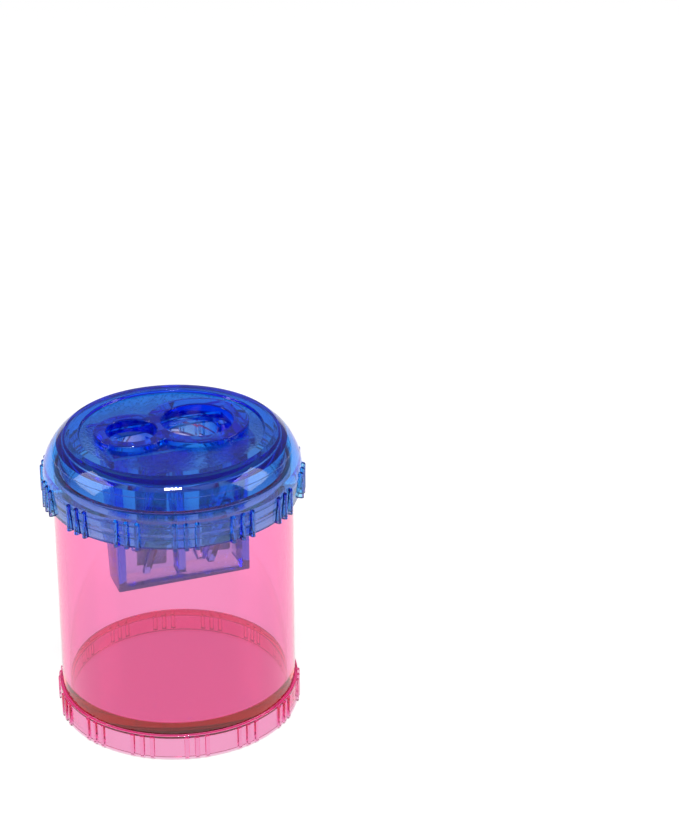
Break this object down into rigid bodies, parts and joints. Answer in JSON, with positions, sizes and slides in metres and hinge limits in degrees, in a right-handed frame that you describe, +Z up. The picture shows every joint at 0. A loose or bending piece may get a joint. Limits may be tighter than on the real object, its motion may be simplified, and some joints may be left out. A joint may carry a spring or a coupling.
{
  "type": "pencil sharpener",
  "caption": "Round desktop pencil sharpener: clear shavings canister with a ribbed foot, and a ribbed domed lid with pencil holes that carries the bladed sharpening insert.",
  "frame": {"origin": "middle of the canister's foot, on the surface that it stands on", "axes": "+Z up along the canister's axis, -Y the front as pictured, +X to the right"},
  "size_m": [0.0502, 0.05, 0.0587],
  "materials": {
    "canister_plastic": "clear pink, polished",
    "lid_plastic": "clear blue, polished, with a fine stipple on the recessed top",
    "insert_plastic": "clear blue, polished",
    "blade_steel": "ground flat, sharpened edge",
    "screw_steel": "plated, slotted"
  },
  "bodies": {
    "canister_body": {"canister": "canister_plastic"},
    "lid_body": {"lid": "lid_plastic", "sharpener_insert": "insert_plastic", "small_blade": "blade_steel", "large_blade": "blade_steel", "small_blade_screw": "screw_steel", "large_blade_screw": "screw_steel"}
  },
  "joints": [
    {"name": "lid_lift", "type": "slide", "parent": "canister_body", "child": "lid_body", "axis": [0, 0, 1], "range_m": [0, 0.04]}
  ]
}
